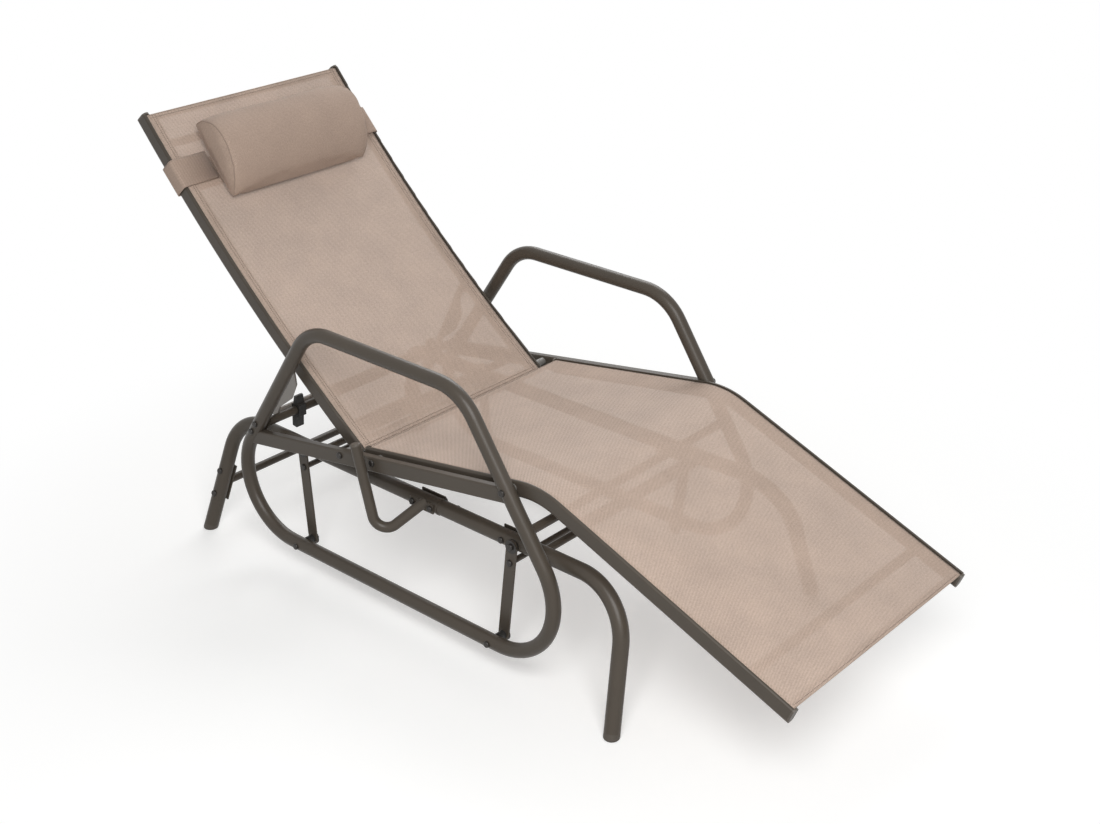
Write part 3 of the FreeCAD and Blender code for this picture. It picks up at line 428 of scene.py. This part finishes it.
def spaced(first, last, count):
    return [first + (last - first) * step / (count - 1) for step in range(count)]


def hemmed_path(line):
    """Stations along a sling: a turned-under hem, its roll, the top side, and the same at the far end.
    Each station is (place along the line, lift, length of cloth so far)."""
    low, high = END_INSET, line.length - END_INSET
    turned = [(low + HEM_TURN * share, -2.0 * HEM_ROLL) for share in HEM_TURN_SHARES]
    roll = []
    for step in range(HEM_STEPS + 1):
        angle = -math.pi / 2.0 - math.pi * step / HEM_STEPS
        roll.append((low + HEM_ROLL + HEM_ROLL * math.cos(angle), -HEM_ROLL + HEM_ROLL * math.sin(angle)))
    start = turned + roll
    top = [(s, 0.0) for s in spaced(low + HEM_ROLL, high - HEM_ROLL, SLING_ROWS)[1:-1]]
    end = [(low + high - s, lift) for s, lift in reversed(start)]
    path, cloth = [], 0.0
    before = None
    for s, lift in start + top + end:
        if before:
            cloth += math.hypot(s - before[0], lift - before[1])
        path.append((s, lift, cloth))
        before = (s, lift)
    return path, cloth


def sling(name, line, half, open_half, sag_at, side_hem, material):
    """Fabric between two rails with turned end hems, and the length of cloth that it takes."""
    path, cloth = hemmed_path(line)
    places = spaced(-half, half, SLING_COLUMNS)
    rows, uv, hem = [], [], []
    for s, lift, flat in path:
        row, uv_row, hem_row = [], [], []
        for x in places:
            inside = max(1.0 - (x / open_half) ** 2, 0.0)
            dip = sag_at(s) * inside ** SAG_ACROSS
            edge = max(abs(x) - (half - EDGE_TURN), 0.0) / EDGE_TURN
            row.append(on_line(line, x, s, lift - dip - EDGE_DROP * edge ** 2))
            uv_row.append((x, flat))
            near_side = half - abs(x) < side_hem
            near_end = min(s, line.length - s) < HEM_TURN
            hem_row.append(1.0 if near_side or near_end else 0.0)
        rows.append(row)
        uv.append(uv_row)
        hem.append(hem_row)
    cloth_piece = grid(name, rows, material, uv, hem=hem)
    solid = cloth_piece.modifiers.new("thickness", "SOLIDIFY")
    solid.thickness = CLOTH_THICK
    solid.offset = 0.0
    return cloth_piece, cloth


def stitch_rows(name, runs, material):
    """Rows of short threads. A run is (function from length to (point, along, up), start, end)."""
    build = bmesh.new()
    for place, start, end in runs:
        count = int((end - start) / STITCH_PITCH)
        for number in range(count):
            middle = start + (number + 0.5) * STITCH_PITCH
            spot, along, up = place(middle)
            across = along.cross(up)
            rings = []
            for share, swell in STITCH_RINGS:
                centre = spot + along * (share * STITCH_LONG)
                ring = []
                for step in range(STITCH_SIDES):
                    angle = 2.0 * math.pi * step / STITCH_SIDES
                    out = across * math.cos(angle) + up * math.sin(angle)
                    ring.append(build.verts.new(centre + out * (STITCH_R * swell)))
                rings.append(ring)
            for one, two in zip(rings, rings[1:]):
                for step in range(STITCH_SIDES):
                    other = (step + 1) % STITCH_SIDES
                    build.faces.new((one[step], one[other], two[other], two[step]))
            build.faces.new(reversed(rings[0]))
            build.faces.new(rings[-1])
    mesh = bpy.data.meshes.new(name)
    build.to_mesh(mesh)
    build.free()
    return link_mesh(name, mesh, material)


def seams(line, half, open_half, sag_at, side_insets, end_insets):
    """Rows along both side edges and along each end hem, at insets from the edge."""
    lift = CLOTH_THICK / 2.0 + STITCH_R * STITCH_PROUD

    def height(x, s):
        return lift - sag_at(s) * max(1.0 - (x / open_half) ** 2, 0.0) ** SAG_ACROSS

    def lengthwise(x):
        def place(s):
            _, along, up = line.at(s)
            return on_line(line, x, s, height(x, s)), along, up
        return place

    def crosswise(s):
        def place(x):
            return on_line(line, x, s, height(x, s)), ACROSS, line.at(s)[2]
        return place

    runs = []
    for inset in side_insets:
        for x in (half - inset, inset - half):
            runs.append((lengthwise(x), SEAM_SHORT_OF_END, line.length - SEAM_SHORT_OF_END))
    for inset in end_insets:
        for s in (inset, line.length - inset):
            runs.append((crosswise(s), -half + SEAM_SHORT_OF_SIDE, half - SEAM_SHORT_OF_SIDE))
    return runs


def seat_sag(s):
    bar = seat_line.length - SEAT_BAR_FROM_FOOT
    if s > bar:
        return LEAST_SAG + FOOT_SAG * math.sin(math.pi * min((s - bar) / SEAT_BAR_FROM_FOOT, 1.0) / 2.0)
    return LEAST_SAG + SEAT_SAG * math.sin(math.pi * max(s, 0.0) / bar) ** SEAT_SAG_ALONG


def back_sag(s):
    low, high = BACK_BARS
    if s < low or s > high:
        return LEAST_SAG
    return LEAST_SAG + BACK_SAG * math.sin(math.pi * (s - low) / (high - low)) ** BACK_SAG_ALONG


seat_cloth, seat_flat = sling("seat_cloth", seat_line, SEAT_CLOTH_HALF, SEAT_OPEN_HALF, seat_sag,
                              0.0, sling_mesh)
back_cloth, back_flat = sling("back_cloth", back_line, BACK_CLOTH_HALF, BACK_OPEN_HALF, back_sag,
                              BACK_SIDE_SEAMS[1] + SIDE_HEM_PAST_SEAM, sling_mesh)
seat_runs = seams(seat_line, SEAT_CLOTH_HALF, SEAT_OPEN_HALF, seat_sag, (), SEAT_END_SEAMS)
back_runs = seams(back_line, BACK_CLOTH_HALF, BACK_OPEN_HALF, back_sag, BACK_SIDE_SEAMS, BACK_END_SEAMS)
seat_seams = stitch_rows("seat_stitching", seat_runs, thread)
back_seams = stitch_rows("back_stitching", back_runs, thread)
for cloth_piece, stitches, body, node_name in (
        (seat_cloth, seat_seams, "glider_frame", "seat_sling"),
        (back_cloth, back_seams, "backrest", "back_sling")):
    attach(cloth_piece, body)
    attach(stitches, body)
    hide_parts(node_name)


# Pillow

pillow_spot, pillow_up, pillow_front = back_line.at(PILLOW_AT)
pillow_origin = in_frame(0.0, (pillow_spot.y, pillow_spot.z))


def pillow_place(x, up, front):
    return pillow_origin + ACROSS * x + pillow_up * up + pillow_front * (PILLOW_LIFT + front)


def arc_points(first, middle, last, count):
    """Points on the circle through three (up, front) pairs, from the first to the last, which is left out."""
    a, b, c = Vector(first), Vector(middle), Vector(last)
    turn = 2.0 * ((b - a).x * (c - a).y - (b - a).y * (c - a).x)
    u, v = (b - a).length_squared, (c - a).length_squared
    centre = a + Vector(((c - a).y * u - (b - a).y * v, (b - a).x * v - (c - a).x * u)) / turn
    start = math.atan2((a - centre).y, (a - centre).x)
    sweep = math.atan2((c - centre).y, (c - centre).x) - start
    if sweep * turn < 0.0:
        sweep += math.copysign(2.0 * math.pi, turn)
    radius = (a - centre).length
    angles = [start + sweep * step / count for step in range(count)]
    return [centre + Vector((math.cos(angle), math.sin(angle))) * radius for angle in angles]


def pillow_outline(swell):
    """D section as (up, front) pairs: nearly flat behind, full towards the top, thin at the bottom."""
    spots = [
        (up * PILLOW_HIGH, front * PILLOW_DEEP)
        for up, front in (PILLOW_LOW, PILLOW_BACK, PILLOW_TOP, PILLOW_SHOULDER, PILLOW_NOSE, PILLOW_HIP)
    ]
    low, behind, top, shoulder, nose, hip = spots
    arcs = ((low, behind, top), (top, shoulder, nose), (nose, hip, low))
    outline = [spot for arc, count in zip(arcs, PILLOW_ARC_STEPS) for spot in arc_points(*arc, count)]
    middle = Vector((0.0, PILLOW_DEEP * PILLOW_MIDDLE))
    return [middle + (spot - middle) * swell for spot in outline]


def pillow_swell(share):
    """Size of the section at a share of the half length: drawn in towards the end seams."""
    return 1.0 - PILLOW_DRAWN_IN * share ** 2 - PILLOW_SEAM_DRAWN_IN * share ** 12


pillow_back = sorted((spot.x, spot.y) for spot in pillow_outline(1.0)[:PILLOW_ARC_STEPS[0] + 1])


def back_height(up):
    """How far in front of the fabric the flat back of the pillow lies at a place up the section."""
    for (low_up, low_front), (high_up, high_front) in zip(pillow_back, pillow_back[1:]):
        if up <= high_up:
            share = max(up - low_up, 0.0) / (high_up - low_up)
            return low_front + (high_front - low_front) * share
    return pillow_back[-1][1]


def pillow_shares(place):
    """Across, up and front of a point in the pillow's own directions."""
    away = place - pillow_origin
    return away.x, away.dot(pillow_up), away.dot(pillow_front) - PILLOW_LIFT


def pillow_form():
    """Closed cover: the main panel round the D section and two flat end panels."""
    build = bmesh.new()
    rows = []
    for x in spaced(-PILLOW_HALF, PILLOW_HALF, PILLOW_ROWS):
        outline = pillow_outline(pillow_swell(abs(x) / PILLOW_HALF) * PILLOW_START)
        rows.append([build.verts.new(pillow_place(x, *spot)) for spot in outline])
    wide = len(rows[0])
    for one, two in zip(rows, rows[1:]):
        for step in range(wide):
            other = (step + 1) % wide
            build.faces.new((one[step], one[other], two[other], two[step]))
    build.faces.new(rows[0])
    build.faces.new(rows[-1])
    bmesh.ops.recalc_face_normals(build, faces=build.faces)
    mesh = bpy.data.meshes.new("headrest_bolster")
    build.to_mesh(mesh)
    build.free()
    return link_mesh("headrest_bolster", mesh, pillow_mesh)


def baked(piece):
    """Mesh of a piece with its modifiers applied."""
    return bpy.data.meshes.new_from_object(piece.evaluated_get(bpy.context.evaluated_depsgraph_get()))


def fill_out(piece):
    """Swell the cover with cloth pressure, held to a short way, and keep its back flat."""
    remesh = piece.modifiers.new("even", "REMESH")
    remesh.mode = "VOXEL"
    remesh.voxel_size = PILLOW_VOXEL
    even = baked(piece)
    piece.modifiers.remove(remesh)
    piece.data = even
    cloth = piece.modifiers.new("swell", "CLOTH")
    cloth.settings.use_pressure = True
    cloth.settings.uniform_pressure_force = PILLOW_PRESSURE
    cloth.settings.effector_weights.gravity = 0.0
    for number in range(1, PILLOW_FRAMES + 1):
        bpy.context.scene.frame_set(number)
    swollen = baked(piece)
    piece.modifiers.remove(cloth)
    bpy.context.scene.frame_set(1)
    for vertex, after in zip(even.vertices, swollen.vertices):
        step = after.co - vertex.co
        if step.length > 0.0:
            vertex.co += step * (PILLOW_SWELL * math.tanh(step.length / PILLOW_SWELL) / step.length)
        across, up, front = pillow_shares(vertex.co)
        vertex.co = pillow_place(across, up, max(front, back_height(up)))
    for face in even.polygons:
        face.use_smooth = True


def lay_weave(piece):
    """Cloth coordinates: across and round the section on the main panel, up and front on the end panels."""
    mesh = piece.data
    outline = pillow_outline(1.0)
    girth = [0.0]
    for one, two in zip(outline, outline[1:]):
        girth.append(girth[-1] + (two - one).length)
    shares = [pillow_shares(vertex.co) for vertex in mesh.vertices]
    round_section = []
    for _, up, front in shares:
        spot = Vector((up, front))
        nearest = min(range(len(outline)), key=lambda step: (outline[step] - spot).length_squared)
        ahead = outline[min(nearest + 1, len(outline) - 1)] - outline[max(nearest - 1, 0)]
        round_section.append(girth[nearest] + (spot - outline[nearest]).dot(ahead.normalized()))
    layer = mesh.uv_layers.new(name="cloth")
    for face in mesh.polygons:
        on_end = abs(face.normal.x) > END_PANEL_FACING
        for loop in face.loop_indices:
            vertex = mesh.loops[loop].vertex_index
            across, up, front = shares[vertex]
            layer.data[loop].uv = (up, front) if on_end else (across, round_section[vertex])


bolster = pillow_form()
fill_out(bolster)
lay_weave(bolster)
finer = bolster.modifiers.new("finer", "SUBSURF")
finer.levels = 1
finer.render_levels = 1
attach(bolster, "headrest")
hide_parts("headrest_pillow")


def piping(name, x):
    """Corded seam round one end of the bolster, laid on its surface."""
    cover = BVHTree.FromObject(bolster, bpy.context.evaluated_depsgraph_get())
    curve = bpy.data.curves.new(name, "CURVE")
    curve.dimensions = "3D"
    curve.bevel_depth = PIPING_R
    curve.bevel_resolution = 3
    spline = curve.splines.new("POLY")
    outline = pillow_outline(pillow_swell(1.0) * PIPING_OUT)
    spline.points.add(len(outline) - 1)
    for point, spot in zip(spline.points, outline):
        point.co = (*cover.find_nearest(pillow_place(x, *spot))[0], 1.0)
    spline.use_cyclic_u = True
    holder = bpy.data.objects.new(name, curve)
    mesh = bpy.data.meshes.new_from_object(holder)
    bpy.data.objects.remove(holder)
    made = link_mesh(name, mesh, piping_cloth)
    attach(made, "headrest")


piping("bolster_piping_right", -PILLOW_HALF * PIPING_PLACE)
piping("bolster_piping_left", PILLOW_HALF * PIPING_PLACE)


# Elastic band round both rails, under the ends of the bolster

def rounded(corners, bend, steps=6):
    """Open polyline with arcs in place of its inner corners."""
    points = [corners[0]]
    for before, corner, after in zip(corners, corners[1:], corners[2:]):
        back = (before - corner).normalized()
        ahead = (after - corner).normalized()
        half = back.angle(ahead) / 2.0
        reach = bend / math.tan(half)
        start, end = corner + back * reach, corner + ahead * reach
        centre = corner + (back + ahead).normalized() * (bend / math.sin(half))
        for step in range(steps + 1):
            share = step / steps
            chord = start.lerp(end, share) - centre
            points.append(centre + chord.normalized() * bend)
    points.append(corners[-1])
    return points


def band_piece():
    """Band from under one end of the bolster round the back to the other end, and its length."""
    tuck = PILLOW_HALF - BAND_TUCK
    half = [(tuck, BAND_FRONT), (BAND_HALF, BAND_FRONT - BAND_FALL), (BAND_HALF, BAND_BEHIND)]
    corners = [Vector((-x, front)) for x, front in half] + [Vector(spot) for spot in reversed(half)]
    rows, uv, length = [], [], 0.0
    before = None
    for spot in rounded(corners, BAND_BEND):
        if before is not None:
            length += (spot - before).length
        before = spot
        places = spaced(-BAND_WIDE / 2.0, BAND_WIDE / 2.0, BAND_COLUMNS)
        rows.append([pillow_place(spot.x, up, spot.y - PILLOW_LIFT) for up in places])
        uv.append([(up, length) for up in places])
    band = grid("headrest_strap", rows, band_weave, uv)
    solid = band.modifiers.new("thickness", "SOLIDIFY")
    solid.thickness = BAND_THICK
    solid.offset = 0.0
    return band, length


strap, strap_length = band_piece()
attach(strap, "headrest")
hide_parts("headrest_band")


# Floor, light and camera

AMBIENT = 0.18
FLOOR_HALF = 12.0
FLOOR_COLOUR = (0.74, 0.74, 0.73)
FLOOR_LIFT = 0.37
FLOOR_FADE = (0.6, 1.5)


def seen_rays(nodes, links):
    """1 for rays from the eye, off gloss or through clear material, 0 for rays that light a surface."""
    paths = node(nodes, "ShaderNodeLightPath").outputs
    indirect = math_node(nodes, links, "MAXIMUM", paths["Is Glossy Ray"], paths["Is Transmission Ray"])
    return math_node(nodes, links, "MAXIMUM", paths["Is Camera Ray"], indirect)


floor_mesh = bpy.data.meshes.new("floor")
floor_corners = [(x * FLOOR_HALF, y * FLOOR_HALF, 0.0) for x, y in ((-1, -1), (1, -1), (1, 1), (-1, 1))]
floor_mesh.from_pydata(floor_corners, [], [(0, 1, 2, 3)])
floor_paint, nodes, links, shader = new_material("floor_paint")
set_sockets(shader, Base_Color=(*FLOOR_COLOUR, 1.0), Roughness=0.9)
seen = seen_rays(nodes, links)
lift = node(nodes, "ShaderNodeEmission")
links.new(math_node(nodes, links, "MULTIPLY", seen, FLOOR_LIFT), lift.inputs["Strength"])
lifted = node(nodes, "ShaderNodeAddShader")
links.new(shader.outputs["BSDF"], lifted.inputs[0])
links.new(lift.outputs["Emission"], lifted.inputs[1])
far = node(nodes, "ShaderNodeVectorMath", operation="LENGTH")
links.new(node(nodes, "ShaderNodeTexCoord").outputs["Object"], far.inputs[0])
fade = node(nodes, "ShaderNodeMapRange", interpolation_type="SMOOTHSTEP")
fade.inputs["From Min"].default_value, fade.inputs["From Max"].default_value = FLOOR_FADE
links.new(far.outputs["Value"], fade.inputs["Value"])
mix = node(nodes, "ShaderNodeMixShader")
links.new(math_node(nodes, links, "MULTIPLY", seen, fade.outputs["Result"]), mix.inputs["Fac"])
links.new(lifted.outputs["Shader"], mix.inputs[1])
links.new(node(nodes, "ShaderNodeEmission").outputs["Emission"], mix.inputs[2])
links.new(mix.outputs["Shader"], nodes["Material Output"].inputs["Surface"])
link_mesh("floor", floor_mesh, floor_paint)

scene = bpy.context.scene
scene.view_settings.view_transform = "Standard"
world = bpy.data.worlds.new("studio")
scene.world = world
world.use_nodes = True
nodes, links = world.node_tree.nodes, world.node_tree.links
around = nodes["Background"]
around.inputs["Color"].default_value = (1.0, 1.0, 1.0, 1.0)
seen = seen_rays(nodes, links)
strength = math_node(nodes, links, "ADD", math_node(nodes, links, "MULTIPLY", seen, 1.0 - AMBIENT), AMBIENT)
links.new(strength, around.inputs["Strength"])


def soft_box(name, place, target, size, power):
    light = bpy.data.lights.new(name, "AREA")
    light.shape = "RECTANGLE"
    light.size, light.size_y = size
    light.energy = power
    lamp = bpy.data.objects.new(name, light)
    lamp.location = place
    lamp.rotation_mode = "QUATERNION"
    lamp.rotation_quaternion = (Vector(target) - Vector(place)).to_track_quat("-Z", "Y")
    scene.collection.objects.link(lamp)


soft_box("key", (-2.0, -2.0, 2.6), (0.0, -0.6, 0.3), (2.0, 2.0), 102.0)
soft_box("behind", (2.6, 1.6, 2.8), (0.0, 0.0, 0.3), (2.4, 2.4), 70.0)

back = Vector((math.sin(CAMERA_AZIMUTH) * math.cos(CAMERA_ELEVATION),
               -math.cos(CAMERA_AZIMUTH) * math.cos(CAMERA_ELEVATION), math.sin(CAMERA_ELEVATION)))
lens = bpy.data.cameras.new("camera")
lens.sensor_fit = "HORIZONTAL"
lens.sensor_width = SENSOR
lens.lens = SENSOR * FOCAL_WIDTHS
camera = bpy.data.objects.new("camera", lens)
camera.location = HINGE + Vector(CAMERA_PLACE)
camera.rotation_mode = "QUATERNION"
camera.rotation_quaternion = (-back).to_track_quat("-Z", "Y")
scene.collection.objects.link(camera)
scene.camera = camera
